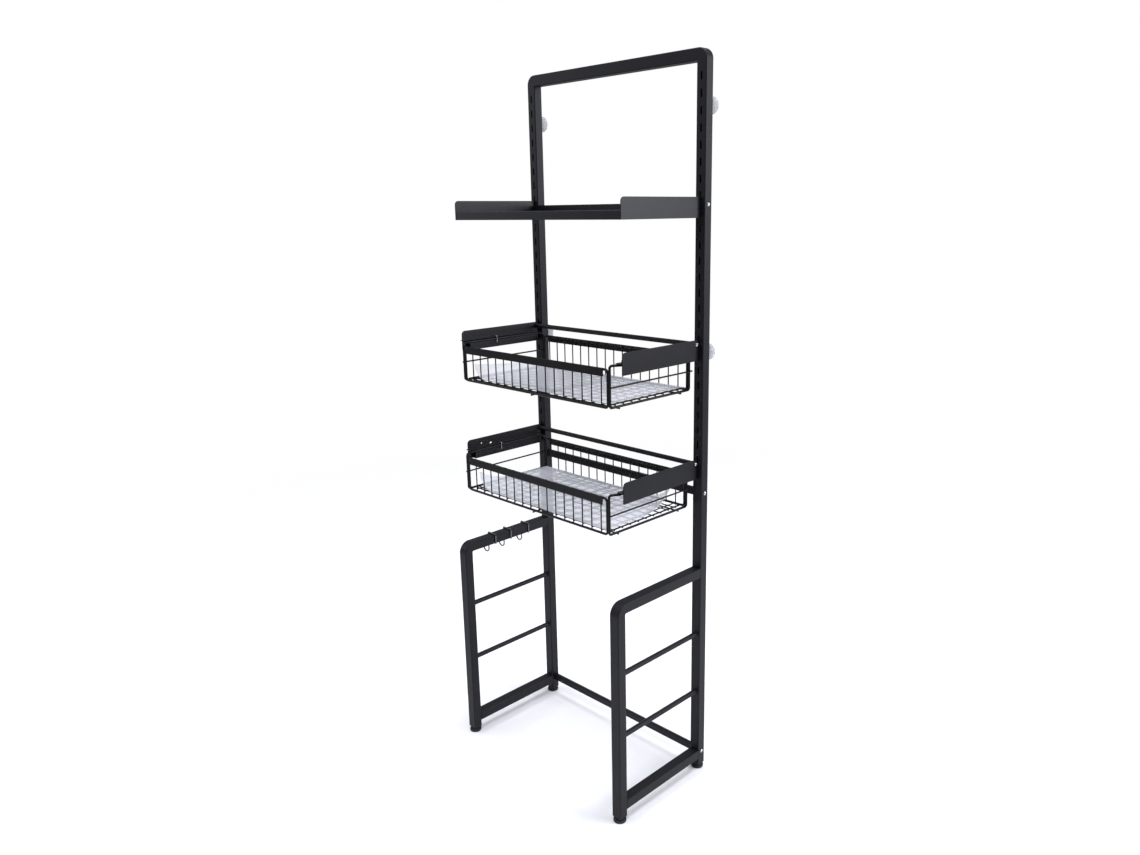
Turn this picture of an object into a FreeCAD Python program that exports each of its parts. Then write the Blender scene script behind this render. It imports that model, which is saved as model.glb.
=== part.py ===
import FreeCAD, Part
import math
import os

os.makedirs("parts", exist_ok=True)

V = FreeCAD.Vector

# ---------------------------------------------------------------- driving dimensions, mm
# Overall frame
overall_height = 1794.0
overall_width = 600.0
frame_depth = 325.0
tube_width = 28.0
tube_depth = 25.0
tube_wall = 1.2
tube_edge_radius = 2.5
upper_corner_radius = 24.0
side_corner_radius = 30.0
side_inner_radius = 3.0

# Side frames
leg_bottom_z = 15.0
side_rail_top_z = 571.0
bottom_rail_bottom_z = 30.0
rung_diameter = 13.0
rung_wall = 1.2
rung_upper_z = 388.0
rung_lower_z = 225.0

# Slots in the upright fronts, counted from 0 at the top
slot_top_margin = 50.0
slot_count = 26
slot_length = 19.0
slot_width = 4.5
lowest_slot_above_rail = 255.5
shelf_slot = 8
upper_basket_slot = 17
lower_basket_slot = 25
seam_below_slot = 4.0

# Seam sleeves between the upper frame and the lower posts
sleeve_reach = 55.0
sleeve_wall = 1.5
sleeve_clearance = 0.1
sleeve_depth = 17.0
seam_screw_above_seam = 30.5

# Rear crossbars
crossbar_height = 20.0
crossbar_depth = 10.0
crossbar_wall = 1.5
crossbar_end_plug = 16.0
upper_crossbar_above_rail = 196.0
lower_crossbar_z = 50.0

# Screws
screw_shank_diameter = 4.9
screw_shank_clearance = 0.1
screw_head_diameter = 9.0
screw_head_height = 2.6
screw_recess_width = 1.1
screw_recess_length = 4.6
screw_recess_depth = 1.3
seam_screw_length = 9.0
crossbar_screw_grip = 11.0
bar_screw_length = 13.0

# Suction cups on the backs of the uprights
cup_diameter = 40.0
cup_depth = 13.0
cup_wall = 1.6
cup_neck_diameter = 6.8
cup_neck_clearance = 0.1
cup_button_diameter = 11.0
cup_button_thickness = 1.8
cup_collar_diameter = 12.0
cup_upper_below_top = 120.0
cup_lower_above_rail = 544.5

# Levelling feet
pad_diameter = 32.0
pad_height = 7.5
pad_shoulder_diameter = 26.0
pad_shoulder_height = 2.5
pad_edge_radius = 1.5
stud_diameter = 7.8
stud_clearance = 0.1
stud_length = 36.0
stud_base_z = 4.0
collar_diameter = 14.0
collar_height = 2.0
collar_gap = 0.4
plug_flange = 1.5
plug_height = 22.0
plug_clearance = 0.05

# Hooked side plates, shared by the shelf and the basket carriers
plate_thickness = 2.0
plate_front_inset = 36.0
plate_corner_radius = 10.0
plate_below_slot = 3.5
tongue_reach = 4.2
tongue_height = 12.0
tongue_drop = 7.0
tongue_gap = 0.3

# Top shelf
shelf_plate_height = 47.0
shelf_sheet = 1.5
shelf_lip_height = 20.0
shelf_back_height = 15.0
shelf_back_gap = 2.0

# Basket carriers
carrier_height = 50.0
trough_lip_height = 18.0
trough_rear_gap = 15.0
trough_front_gap = 16.0
guide_thickness = 1.5
guide_leg_height = 8.0
guide_above_wire = 1.7
guide_overhang = 6.0
guide_rear_gap = 17.0
rear_bar_diameter = 12.0
rear_bar_wall = 1.2
rear_bar_end_plug = 14.0
rear_bar_above_plate = 39.5
rear_bar_from_upright = 8.0
stop_wire_diameter = 2.0
stop_gap = 0.6
stop_low = 12.0
stop_from_upright = 162.0
stop_hole_clearance = 0.1

# Spare holes near the front of the lower left plate: distance back, height above its foot, diameter
spare_round_hole = (46.0, 34.5, 4.5)
spare_oblong_hole = (75.0, 30.5, 5.0)
spare_oblong_run = 4.0
spare_small_hole = (15.0, 32.0, 2.0)

# Wire baskets
frame_wire = 6.0
thin_wire = 3.0
border_wire = 4.0
side_wire_diameter = 4.0
run_gap = 0.3
runner_from_plate = 8.0
basket_inset = 12.5
loop_bend = 8.0
side_bend = 6.0
runner_bend = 8.0
basket_drop = 73.0
loop_top = 12.0
basket_front_y = 303.0
basket_rear_y = 30.0
lower_basket_forward = 7.0
run_out_length = 22.0
band_height = 18.0
band_top = 15.0
band_thickness = 1.5
band_end_gap = 11.0
upright_wire_count = 16
upright_wire_margin = 24.5
side_wire_drop = 27.0
side_wire_front_overrun = 1.0
side_wire_rear_overrun = 5.0
cross_wire_count = 9
cross_wire_end_gap = 22.0
support_wire_end_gap = 30.0
border_wire_inset = 4.0
liner_thickness = 1.0
liner_gap = 0.3
liner_side_gap = 1.0

# S-hooks over the left top rail
hook_wire = 4.0
hook_gap = 0.3
hook_positions_y = (-222.0, -167.0, -102.0)
hook_inner_leg = 27.0
hook_drop = 34.0
hook_mouth = 22.0
hook_tip_rise = 22.0
hook_bend = 3.0

# ---------------------------------------------------------------- derived positions
half_width = overall_width / 2.0
inner_x = half_width - tube_width
tube_x = half_width - tube_width / 2.0
upright_front_y = -tube_depth
leg_front_y = -frame_depth
leg_rear_y = leg_front_y + tube_depth
leg_y = (leg_front_y + leg_rear_y) / 2.0
post_y = -tube_depth / 2.0
slot_top_z = overall_height - slot_top_margin
lowest_slot_z = side_rail_top_z + lowest_slot_above_rail
slot_pitch = (slot_top_z - lowest_slot_z) / (slot_count - 1)
plate_inner_x = tube_x - plate_thickness / 2.0
plate_outer_x = tube_x + plate_thickness / 2.0
plate_front_y = leg_front_y + plate_front_inset
runner_x = plate_inner_x - runner_from_plate - frame_wire / 2.0
side_loop_x = runner_x - basket_inset

# The end and side loops stand side by side at the corners, their wires touching.
loop_x = side_loop_x - frame_wire


def slot_bottom_z(index):
    return slot_top_z - index * slot_pitch - slot_length


seam_z = slot_bottom_z(shelf_slot) - seam_below_slot
seam_screw_z = seam_z + seam_screw_above_seam
upper_crossbar_z = side_rail_top_z + upper_crossbar_above_rail
cup_upper_z = overall_height - cup_upper_below_top
cup_lower_z = side_rail_top_z + cup_lower_above_rail

# The origin is the middle of the whole rack's footprint, at the floor. Hooks and cups stand out of the
# frame, so the footprint's middle is worked out from what reaches furthest each way.
reach_left = half_width + hook_gap + hook_wire + hook_mouth
reach_right = tube_x + cup_diameter / 2.0
reach_front = frame_depth - tube_depth / 2.0 + pad_diameter / 2.0
reach_back = cup_depth
shift_x = (reach_left - reach_right) / 2.0
shift_y = (reach_front - reach_back) / 2.0


# ---------------------------------------------------------------- shape helpers
def box(x0, x1, y0, y1, z0, z1):
    low = V(min(x0, x1), min(y0, y1), min(z0, z1))
    return Part.makeBox(abs(x1 - x0), abs(y1 - y0), abs(z1 - z0), low)


def rod(start, end, diameter):
    return Part.makeCylinder(diameter / 2.0, end.sub(start).Length, start, end.sub(start))


def fused(shapes):
    result = shapes[0]
    if len(shapes) > 1:
        result = shapes[0].multiFuse(shapes[1:])
    return result.removeSplitter()


def mirrored(shape):
    return shape.mirror(V(0, 0, 0), V(1, 0, 0))


def rounded_edges(points, radii, closed):
    """Straight runs joined by arcs: one bend radius for each point, 0 for a sharp corner."""
    count = len(points)
    starts = []
    ends = []
    arcs = []
    for i in range(count):
        here = points[i]
        at_end = not closed and i in (0, count - 1)
        radius = 0.0 if at_end else radii[i]
        if radius <= 0.0:
            starts.append(here)
            ends.append(here)
            arcs.append(None)
            continue
        back = points[i - 1].sub(here).normalize()
        ahead = points[(i + 1) % count].sub(here).normalize()
        half_angle = back.getAngle(ahead) / 2.0
        reach = radius / math.tan(half_angle)
        middle = back.add(ahead).normalize()
        tip = here.add(middle.multiply(radius / math.sin(half_angle) - radius))
        first = here.add(V(back).multiply(reach))
        last = here.add(V(ahead).multiply(reach))
        starts.append(first)
        ends.append(last)
        arcs.append(Part.Arc(first, tip, last).toShape())
    edges = []
    runs = count if closed else count - 1
    for i in range(runs):
        if arcs[i] is not None:
            edges.append(arcs[i])
        follower = (i + 1) % count
        if ends[i].sub(starts[follower]).Length > 1e-6:
            edges.append(Part.makeLine(ends[i], starts[follower]))
    return edges


def slab(points, radii, direction):
    """A flat piece: the outline through the points, pushed along the direction."""
    return Part.Face(Part.Wire(rounded_edges(points, radii, True))).extrude(direction)


def bent_wire(points, radii, diameter, closed=False):
    """A round wire bent through the points."""
    pieces = []
    for edge in rounded_edges(points, radii, closed):
        start = edge.valueAt(edge.FirstParameter)
        end = edge.valueAt(edge.LastParameter)
        if isinstance(edge.Curve, (Part.Line, Part.LineSegment)):
            pieces.append(rod(start, end, diameter))
            continue
        tangent = edge.tangentAt(edge.FirstParameter)
        section = Part.Wire([Part.makeCircle(diameter / 2.0, start, tangent)])
        pieces.append(Part.Wire([edge]).makePipeShell([section], True, False))
    return fused(pieces)


def rounded_rectangle(origin, across, up, width, height, radius):
    a = V(across).multiply(width / 2.0)
    b = V(up).multiply(height / 2.0)
    corners = [
        origin.sub(a).sub(b),
        origin.add(a).sub(b),
        origin.add(a).add(b),
        origin.sub(a).add(b),
    ]
    return Part.Face(Part.Wire(rounded_edges(corners, [radius] * 4, True)))


def square_tube(start, end, across, width, height, wall):
    """A hollow rectangular tube from start to end, its width measured along across."""
    along = end.sub(start)
    up = V(along).cross(across).normalize()
    outer = rounded_rectangle(start, across, up, width, height, tube_edge_radius)
    inner_radius = tube_edge_radius - wall
    inner = rounded_rectangle(start, across, up, width - 2 * wall, height - 2 * wall, inner_radius)
    return outer.cut(inner).extrude(along)


def round_tube(start, end, diameter, wall):
    return rod(start, end, diameter).cut(rod(start, end, diameter - 2 * wall))


def edges_on_planes(shape, axis, values):
    """The edges that lie wholly in one of the planes axis = value."""
    found = []
    for edge in shape.Edges:
        bounds = edge.BoundBox
        low = (bounds.XMin, bounds.YMin, bounds.ZMin)[axis]
        high = (bounds.XMax, bounds.YMax, bounds.ZMax)[axis]
        if any(abs(low - value) < 1e-4 and abs(high - value) < 1e-4 for value in values):
            found.append(edge)
    return found


def half_space(corner_in, corner_out, direction, depth_axis):
    """A large block on one side of the mitre through two corners, on the side of direction."""
    size = 3.0 * (overall_height + overall_width)
    along = corner_out.sub(corner_in).normalize()
    normal = V(along).cross(depth_axis).normalize()
    if normal.dot(direction) < 0:
        normal = normal.multiply(-1.0)
    far = V(along).multiply(size)
    start = corner_in.sub(far)
    end = corner_in.add(far)
    push = V(normal).multiply(size)
    points = [start, end, end.add(push), start.add(push)]
    block = Part.Face(Part.makePolygon(points + [start])).extrude(V(depth_axis).multiply(2 * size))
    block.translate(V(depth_axis).multiply(-size))
    return block


def export(name, solids):
    """Moves the solids to the rack's own frame and writes them as one named file."""
    shape = solids[0] if len(solids) == 1 else Part.makeCompound(solids)
    moved = shape.copy()
    moved.translate(V(shift_x, shift_y, 0))
    moved.exportStep("parts/" + name + ".step")


# ---------------------------------------------------------------- repeated cuts and small parts
def slot_cutter(x, index):
    """An upright slot with round ends, through the front wall only."""
    bottom = slot_bottom_z(index)
    radius = slot_width / 2.0
    front = upright_front_y - 1.0
    back = upright_front_y + tube_wall + 1.0
    low = V(x, front, bottom + radius)
    high = V(x, front, bottom + slot_length - radius)
    middle = box(x - radius, x + radius, front, back, low.z, high.z)
    ends = [Part.makeCylinder(radius, back - front, point, V(0, 1, 0)) for point in (low, high)]
    return fused([middle] + ends)


def with_slots(shape, x, first, last):
    cutters = [slot_cutter(x, index) for index in range(first, last + 1)]
    return shape.cut(Part.makeCompound(cutters))


def side_hole(side, y, z, x_from, x_to):
    """A clearance hole for a side screw between two distances from the middle."""
    diameter = screw_shank_diameter + 2 * screw_shank_clearance
    return rod(V(side * x_from, y, z), V(side * x_to, y, z), diameter)


def cup_hole(side, z):
    diameter = cup_neck_diameter + 2 * cup_neck_clearance
    x = side * tube_x
    return rod(V(x, -tube_wall - 1.0, z), V(x, 1.0, z), diameter)


def side_screw(side, face_x, y, z, length):
    """A pan-head screw driven inwards, its head seated on the plane face_x from the middle."""
    base = V(face_x, y, z)
    radius = screw_head_diameter / 2.0
    dome = 0.6 * screw_head_height
    profile = [
        V(face_x, y, z),
        V(face_x, y, z + radius),
        V(face_x + screw_head_height - dome, y, z + radius),
        V(face_x + screw_head_height, y, z + 0.55 * radius),
        V(face_x + screw_head_height, y, z),
    ]
    outline = Part.Wire(rounded_edges(profile, [0, 0, 0.4, 0.8, 0], True))
    head = Part.Face(outline).revolve(base, V(1, 0, 0), 360)
    top = face_x + screw_head_height
    half_slot = screw_recess_width / 2.0
    half_length = screw_recess_length / 2.0
    low = top - screw_recess_depth
    cross = fused([
        box(low, top + 1, y - half_slot, y + half_slot, z - half_length, z + half_length),
        box(low, top + 1, y - half_length, y + half_length, z - half_slot, z + half_slot),
    ])
    shank = rod(base, base.sub(V(length, 0, 0)), screw_shank_diameter)
    screw = fused([head.cut(cross), shank])
    return screw if side > 0 else mirrored(screw)


# ---------------------------------------------------------------- upper frame
def upper_frame():
    """Left upright, top bar and right upright, hollow and mitred at the two top corners."""
    top = overall_height
    low_bar = top - tube_width

    def outline(inset, end_overrun):
        outer = half_width - inset
        inner = inner_x + inset
        end = seam_z - end_overrun
        pairs = [
            (-outer, end), (-outer, top - inset), (outer, top - inset), (outer, end),
            (inner, end), (inner, low_bar + inset), (-inner, low_bar + inset), (-inner, end),
        ]
        radius = upper_corner_radius - inset
        return pairs, [0, radius, radius, 0, 0, 0, 0, 0]

    pairs, radii = outline(0.0, 0.0)
    points = [V(x, -tube_depth, z) for x, z in pairs]
    shell = slab(points, radii, V(0, tube_depth, 0))
    rims = [e for e in edges_on_planes(shell, 1, (-tube_depth, 0.0)) if e.BoundBox.ZMax > seam_z + 1.0]
    shell = shell.makeFillet(tube_edge_radius, rims)
    pairs, radii = outline(tube_wall, 1.0)
    points = [V(x, -tube_depth + tube_wall, z) for x, z in pairs]
    shell = shell.cut(slab(points, radii, V(0, tube_depth - 2 * tube_wall, 0)))

    pieces = {}
    outer_corner = V(half_width, 0, top)
    inner_corner = V(inner_x, 0, low_bar)
    above = half_space(inner_corner, outer_corner, V(-1, 0, 1), V(0, 1, 0))
    below = half_space(inner_corner, outer_corner, V(1, 0, -1), V(0, 1, 0))
    right_half = box(0, 2 * half_width, -2 * tube_depth, tube_depth, 0, 2 * top)
    right = shell.common(below).common(right_half)
    for index in range(shelf_slot + 1):
        right = right.cut(slot_cutter(tube_x, index))
    right = right.cut(side_hole(1, post_y, seam_screw_z, inner_x + tube_width / 2, half_width + 1))
    right = right.cut(cup_hole(1, cup_upper_z))
    pieces["upright_upper_right"] = right
    pieces["upright_upper_left"] = mirrored(right)
    pieces["top_bar"] = shell.common(above).common(mirrored(above))
    return pieces


def joint_sleeve(side):
    """A channel inside the tubes that bridges the seam, open towards the slots."""
    half = tube_width / 2.0 - tube_wall - sleeve_clearance
    thin = half - sleeve_wall
    back = -tube_wall - sleeve_clearance
    front = back - sleeve_depth
    low = seam_z - sleeve_reach
    pairs = [
        (-half, front), (-half, back), (half, back), (half, front),
        (thin, front), (thin, back - sleeve_wall), (-thin, back - sleeve_wall), (-thin, front),
    ]
    corner = tube_edge_radius
    radii = [0, corner, corner, 0, 0, corner - sleeve_wall, corner - sleeve_wall, 0]
    sleeve = slab([V(tube_x + x, y, low) for x, y in pairs], radii, V(0, 0, 2 * sleeve_reach))
    sleeve = sleeve.cut(side_hole(1, post_y, seam_screw_z, tube_x, half_width))
    return sleeve if side > 0 else mirrored(sleeve)


# ---------------------------------------------------------------- lower posts and side frames
def lower_post():
    start = V(tube_x, post_y, leg_bottom_z)
    end = V(tube_x, post_y, seam_z)
    post = square_tube(start, end, V(1, 0, 0), tube_width, tube_depth, tube_wall)
    post = with_slots(post, tube_x, shelf_slot + 1, slot_count - 1)
    for z in (upper_crossbar_z, lower_crossbar_z):
        post = post.cut(side_hole(1, post_y, z, inner_x - 1, half_width + 1))
    return post.cut(cup_hole(1, cup_lower_z))


def side_hoop():
    """The front leg and the top rail of one side frame, mitred where they meet."""
    top = side_rail_top_z

    def outline(inset, overrun):
        points = [
            (leg_front_y + inset, leg_bottom_z - overrun),
            (leg_front_y + inset, top - inset),
            (upright_front_y + overrun, top - inset),
            (upright_front_y + overrun, top - tube_depth + inset),
            (leg_rear_y - inset, top - tube_depth + inset),
            (leg_rear_y - inset, leg_bottom_z - overrun),
        ]
        return points, [0, side_corner_radius - inset, 0, 0, side_inner_radius + inset, 0]

    pairs, radii = outline(0.0, 0.0)
    hoop = slab([V(inner_x, y, z) for y, z in pairs], radii, V(tube_width, 0, 0))
    rims = []
    for edge in edges_on_planes(hoop, 0, (inner_x, half_width)):
        middle = edge.BoundBox.Center
        if middle.z > leg_bottom_z + 1.0 and middle.y < upright_front_y - 1.0:
            rims.append(edge)
    hoop = hoop.makeFillet(tube_edge_radius, rims)
    pairs, radii = outline(tube_wall, 1.0)
    start_x = inner_x + tube_wall
    hoop = hoop.cut(slab([V(start_x, y, z) for y, z in pairs], radii, V(tube_width - 2 * tube_wall, 0, 0)))

    outer_corner = V(0, leg_front_y, top)
    inner_corner = V(0, leg_rear_y, top - tube_depth)
    above = half_space(inner_corner, outer_corner, V(0, 1, 1), V(1, 0, 0))
    below = half_space(inner_corner, outer_corner, V(0, -1, -1), V(1, 0, 0))
    return {"front_leg": hoop.common(below), "top_rail": hoop.common(above)}


def bottom_rail():
    z = bottom_rail_bottom_z + tube_depth / 2.0
    return square_tube(V(tube_x, leg_rear_y, z), V(tube_x, upright_front_y, z), V(1, 0, 0),
                       tube_width, tube_depth, tube_wall)


def rungs():
    result = []
    for z in (rung_upper_z, rung_lower_z):
        result.append(round_tube(V(tube_x, leg_rear_y, z), V(tube_x, upright_front_y, z), rung_diameter, rung_wall))
    return result


def crossbar(z):
    """A flat tube between the posts with a solid screw block welded in each end."""
    bar = square_tube(V(-inner_x, post_y, z), V(inner_x, post_y, z), V(0, 1, 0),
                      crossbar_depth, crossbar_height, crossbar_wall)
    half_y = crossbar_depth / 2.0 - crossbar_wall
    half_z = crossbar_height / 2.0 - crossbar_wall
    block = box(inner_x - crossbar_end_plug, inner_x, post_y - half_y, post_y + half_y, z - half_z, z + half_z)
    hole = side_hole(1, post_y, z, inner_x - crossbar_screw_grip - 1.0, inner_x + 1)
    block = block.cut(hole)
    return fused([bar, block, mirrored(block)])


def screws():
    """Seam and crossbar screws through the posts, and one through each carrier plate into its rear bar."""
    through = tube_width + crossbar_screw_grip
    bar_y = upright_front_y - rear_bar_from_upright
    result = []
    for side in (-1, 1):
        result.append(side_screw(side, half_width, post_y, seam_screw_z, seam_screw_length))
        result.append(side_screw(side, half_width, post_y, upper_crossbar_z, through))
        result.append(side_screw(side, half_width, post_y, lower_crossbar_z, through))
        for slot in (upper_basket_slot, lower_basket_slot):
            bar_z = slot_bottom_z(slot) - plate_below_slot + rear_bar_above_plate
            result.append(side_screw(side, plate_outer_x, bar_y, bar_z, bar_screw_length))
    return result


def suction_cup(side, z):
    """A clear cup that faces the wall, buttoned through the upright's rear wall."""
    x = side * tube_x
    rim = cup_diameter / 2.0
    neck = cup_neck_diameter / 2.0
    collar = cup_collar_diameter / 2.0
    button = cup_button_diameter / 2.0
    inside = -tube_wall - 0.2
    pairs = [
        (0, inside - cup_button_thickness), (button, inside - cup_button_thickness), (button, inside),
        (neck, inside), (neck, 0.2), (collar, 0.2), (collar, 3.0), (rim, cup_depth - 1.2), (rim, cup_depth),
        (collar, 3.0 + 1.4 * cup_wall), (0, 3.0 + cup_wall),
    ]
    radii = [0, 0.6, 0, 0, 0, 0.4, 4.0, 0, 0, 4.0, 0]
    outline = Part.Wire(rounded_edges([V(x + r, y, z) for r, y in pairs], radii, True))
    return Part.Face(outline).revolve(V(x, 0, z), V(0, 1, 0), 360)


# ---------------------------------------------------------------- levelling feet
def foot_positions():
    return {
        "front_left": V(-tube_x, leg_y, 0),
        "front_right": V(tube_x, leg_y, 0),
        "rear_left": V(-tube_x, post_y, 0),
        "rear_right": V(tube_x, post_y, 0),
    }


def foot_pad(centre):
    """The round pad, with a pocket in which the stud's collar turns."""
    rim = pad_diameter / 2.0
    shoulder = pad_shoulder_diameter / 2.0
    pocket = collar_diameter / 2.0 + collar_gap
    neck = stud_diameter / 2.0 + stud_clearance
    top = pad_height + pad_shoulder_height
    low = stud_base_z - collar_gap
    high = stud_base_z + collar_height + collar_gap
    pairs = [
        (0, 0), (rim, 0), (rim, pad_height), (shoulder, pad_height), (shoulder, top),
        (neck, top), (neck, high), (pocket, high), (pocket, low), (0, low),
    ]
    radii = [0, pad_edge_radius, pad_edge_radius, 0, 0.6, 0, 0, 0, 0, 0]
    outline = Part.Wire(rounded_edges([centre.add(V(r, 0, z)) for r, z in pairs], radii, True))
    return Part.Face(outline).revolve(centre, V(0, 0, 1), 360)


def foot_stud(centre):
    base = centre.add(V(0, 0, stud_base_z))
    collar = Part.makeCylinder(collar_diameter / 2.0, collar_height, base)
    shank = Part.makeCylinder(stud_diameter / 2.0, stud_length, base)
    shank = shank.makeChamfer(0.8, edges_on_planes(shank, 2, (stud_base_z + stud_length,)))
    return fused([collar, shank])


def foot_plug(centre):
    """The threaded plug that closes a leg's end."""
    half_x = tube_width / 2.0
    half_y = tube_depth / 2.0
    low = leg_bottom_z - plug_flange
    inner_radius = tube_edge_radius - tube_wall
    middle = centre.add(V(0, 0, low))
    flange = rounded_rectangle(middle, V(1, 0, 0), V(0, 1, 0), 2 * half_x, 2 * half_y, tube_edge_radius)
    flange = flange.extrude(V(0, 0, plug_flange))
    inset = tube_wall + plug_clearance
    middle = centre.add(V(0, 0, leg_bottom_z))
    insert = rounded_rectangle(middle, V(1, 0, 0), V(0, 1, 0), 2 * (half_x - inset), 2 * (half_y - inset),
                               inner_radius)
    insert = insert.extrude(V(0, 0, plug_height - plug_flange))
    hole = Part.makeCylinder(stud_diameter / 2.0 + stud_clearance, plug_height + 2, centre.add(V(0, 0, low - 1)))
    return fused([flange, insert]).cut(hole)


# ---------------------------------------------------------------- hooked plates and the shelf
def hooked_plate(base_z, height):
    """A right-hand side plate with its front top corner rounded and a tongue in the slot behind it."""
    points = [
        V(plate_inner_x, plate_front_y, base_z),
        V(plate_inner_x, plate_front_y, base_z + height),
        V(plate_inner_x, upright_front_y, base_z + height),
        V(plate_inner_x, upright_front_y, base_z),
    ]
    plate = slab(points, [0, plate_corner_radius, 0, 0], V(plate_thickness, 0, 0))
    slot_radius = slot_width / 2.0
    rise = slot_radius - math.sqrt(slot_radius ** 2 - (plate_thickness / 2.0) ** 2)
    seat = base_z + plate_below_slot + rise
    inside = upright_front_y + tube_wall
    end = inside + tongue_reach
    tongue = box(plate_inner_x, plate_outer_x, upright_front_y, end, seat, seat + tongue_height)
    catch = box(plate_inner_x, plate_outer_x, inside + tongue_gap, end, seat - tongue_drop, seat)
    return fused([plate, tongue, catch])


def shelf():
    base = slot_bottom_z(shelf_slot) - plate_below_slot
    top = base + shelf_lip_height
    front = plate_front_y + 0.5
    back = upright_front_y - shelf_back_gap
    plate = hooked_plate(base, shelf_plate_height)
    half = plate_inner_x
    outline = [
        V(-half, front, base),
        V(-half, front, top),
        V(-half, back - shelf_sheet, top),
        V(-half, back - shelf_sheet, top + shelf_back_height),
        V(-half, back, top + shelf_back_height),
        V(-half, back, top - shelf_sheet),
        V(-half, front + shelf_sheet, top - shelf_sheet),
        V(-half, front + shelf_sheet, base),
    ]
    radii = [0, 2.0, 1.0, 0, 0, 2.5, 0.6, 0]
    tray = slab(outline, radii, V(2 * half, 0, 0))
    return {"shelf_tray": tray, "shelf_side_right": plate, "shelf_side_left": mirrored(plate)}


# ---------------------------------------------------------------- basket carriers
def carrier(slot):
    """The fixed parts that one basket slides in."""
    base = slot_bottom_z(slot) - plate_below_slot
    trough_x = runner_x
    lip_inner = trough_x - plate_thickness / 2.0
    lip_outer = trough_x + plate_thickness / 2.0
    trough_front = plate_front_y + trough_front_gap
    trough_rear = upright_front_y - trough_rear_gap
    wire_z = base + trough_lip_height + run_gap + frame_wire / 2.0
    guide_z = wire_z + frame_wire / 2.0 + guide_above_wire
    bar_y = upright_front_y - rear_bar_from_upright
    bar_z = base + rear_bar_above_plate
    stop_y = upright_front_y - stop_from_upright
    stop_x = trough_x - frame_wire / 2.0 - stop_gap - stop_wire_diameter / 2.0
    stop_low_z = base + stop_low

    plate = hooked_plate(base, carrier_height)
    floor = box(lip_inner, plate_inner_x, trough_front, trough_rear, base, base + plate_thickness)
    lip = box(lip_inner, lip_outer, trough_front, trough_rear, base, base + trough_lip_height)
    plate = fused([plate, floor, lip])
    stop_hole = stop_wire_diameter + 2 * stop_hole_clearance
    hole = rod(V(lip_inner - 1, stop_y, stop_low_z), V(lip_outer + 1, stop_y, stop_low_z), stop_hole)
    plate = plate.cut(hole)
    plate = plate.cut(side_hole(1, bar_y, bar_z, plate_inner_x - 1, plate_outer_x + 1))

    guide_rear = upright_front_y - guide_rear_gap
    guide_front = plate_front_y - guide_overhang
    guide_inner = trough_x - plate_thickness / 2.0 - guide_thickness
    flange = box(guide_inner, plate_inner_x, guide_front, guide_rear, guide_z, guide_z + guide_thickness)
    leg = box(plate_inner_x - guide_thickness, plate_inner_x, plate_front_y, guide_rear,
              guide_z, guide_z + guide_leg_height)
    guide = fused([flange, leg])

    bar = round_tube(V(-plate_inner_x, bar_y, bar_z), V(plate_inner_x, bar_y, bar_z), rear_bar_diameter,
                     rear_bar_wall)
    core = rod(V(plate_inner_x - rear_bar_end_plug, bar_y, bar_z), V(plate_inner_x, bar_y, bar_z),
               rear_bar_diameter - 2 * rear_bar_wall)
    core = core.cut(side_hole(1, bar_y, bar_z, plate_inner_x - rear_bar_end_plug + 1.0, plate_inner_x + 1))
    bar = fused([bar, core, mirrored(core)])

    stop_top = guide_z + guide_thickness + stop_wire_diameter / 2.0
    stop = bent_wire([
        V(lip_outer + 2.0, stop_y, stop_low_z),
        V(stop_x, stop_y, stop_low_z),
        V(stop_x, stop_y, stop_top),
        V(lip_outer + 4.0, stop_y, stop_top),
    ], [0, 1.2, 1.2, 0], stop_wire_diameter)

    return {
        "plate_right": [plate],
        "plate_left": [mirrored(plate)],
        "guides": [guide, mirrored(guide)],
        "rear_bar": [bar],
        "stops": [stop, mirrored(stop)],
    }


def left_plate_holes(shape, slot):
    """The lower left plate and the guide on it have a round, an oblong and a small hole near their front."""
    base = slot_bottom_z(slot) - plate_below_slot
    far = plate_outer_x + 1.0
    near = plate_inner_x - guide_thickness - 1.0

    def drilled(back, height, diameter):
        y = plate_front_y + back
        return rod(V(-far, y, base + height), V(-near, y, base + height), diameter)

    back, height, width = spare_oblong_hole
    oblong = fused([
        drilled(back, height, width),
        drilled(back + spare_oblong_run, height, width),
        box(-far, -near, plate_front_y + back, plate_front_y + back + spare_oblong_run,
            base + height - width / 2.0, base + height + width / 2.0),
    ])
    return shape.cut(drilled(*spare_round_hole)).cut(oblong).cut(drilled(*spare_small_hole))


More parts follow.
